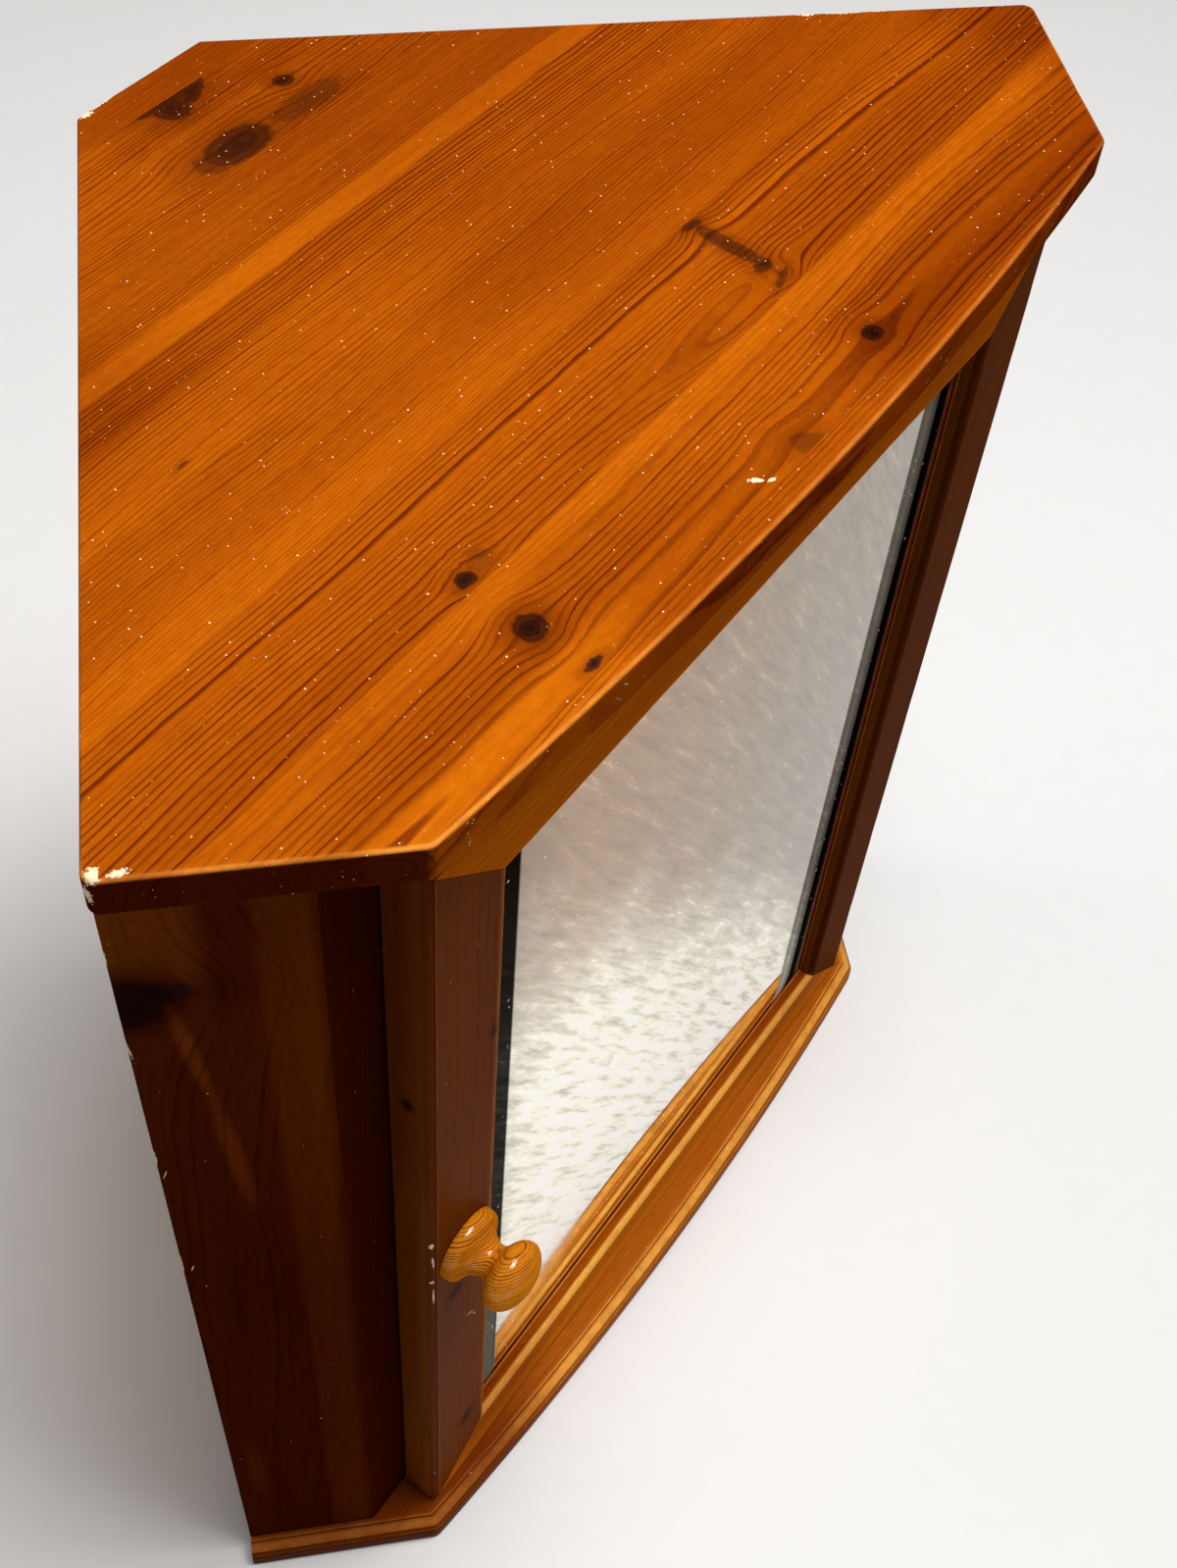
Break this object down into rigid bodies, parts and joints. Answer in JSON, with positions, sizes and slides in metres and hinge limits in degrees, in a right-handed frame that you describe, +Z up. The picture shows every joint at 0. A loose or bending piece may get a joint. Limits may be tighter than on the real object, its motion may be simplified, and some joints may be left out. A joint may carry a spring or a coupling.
{
  "type": "corner cabinet",
  "caption": "Wall-hung corner cabinet with a bowed front, angled returns, fitted shelves and a bevelled mirror door that swings on side hinges.",
  "frame": {"origin": "middle of the underside of the bottom board's bounding box", "axes": "+X to the viewer's right, +Y back into the corner of the walls, +Z up"},
  "size_m": [0.5282, 0.3206, 0.606],
  "materials": {
    "stained_pine": "orange-brown stained and varnished softwood, worn bright at the arrises",
    "inner_pine": "plain pine, thinly stained",
    "tenon_wood": "bare hardwood",
    "mirror_glass": "silvered glass with a ground bevel",
    "backing": "brown hardboard",
    "hinge_brass": "dull brass",
    "catch_plastic": "brown moulded plastic",
    "catch_steel": "plain steel",
    "magnet": "dark ceramic magnet"
  },
  "bodies": {
    "carcass": {"bottom_board": "stained_pine", "bottom_tenons": "tenon_wood", "catch_housing": "catch_plastic", "catch_magnet": "magnet", "catch_pole_plates": "catch_steel", "corner_back_strip": "inner_pine", "head_rail": "stained_pine", "hinge_frame_screws": "hinge_brass", "left_back_panel": "inner_pine", "left_front_post": "stained_pine", "left_hanging_rail": "inner_pine", "left_return_panel": "stained_pine", "lower_hinge_frame_leaf": "hinge_brass", "lower_hinge_pin": "hinge_brass", "lower_shelf": "inner_pine", "right_back_panel": "inner_pine", "right_front_post": "stained_pine", "right_hanging_rail": "inner_pine", "right_return_panel": "stained_pine", "shelf_battens": "inner_pine", "top_board": "stained_pine", "top_tenons": "tenon_wood", "upper_hinge_frame_leaf": "hinge_brass", "upper_hinge_pin": "hinge_brass", "upper_shelf": "inner_pine"},
    "door": {"door_left_stile": "stained_pine", "door_right_stile": "stained_pine", "door_bottom_rail": "stained_pine", "door_top_rail": "stained_pine", "mitre_tenons": "tenon_wood", "door_mirror": "mirror_glass", "mirror_backing_board": "backing", "backing_beads": "inner_pine", "door_knob": "stained_pine", "strike_plate": "catch_steel", "lower_hinge_door_leaf": "hinge_brass", "upper_hinge_door_leaf": "hinge_brass", "hinge_door_screws": "hinge_brass"}
  },
  "joints": [
    {"name": "door_hinge", "type": "hinge", "parent": "carcass", "child": "door", "pos_m": [0.1953, -0.11901, 0.2953], "axis": [0, 0, 1], "range_deg": [0, 105]}
  ]
}
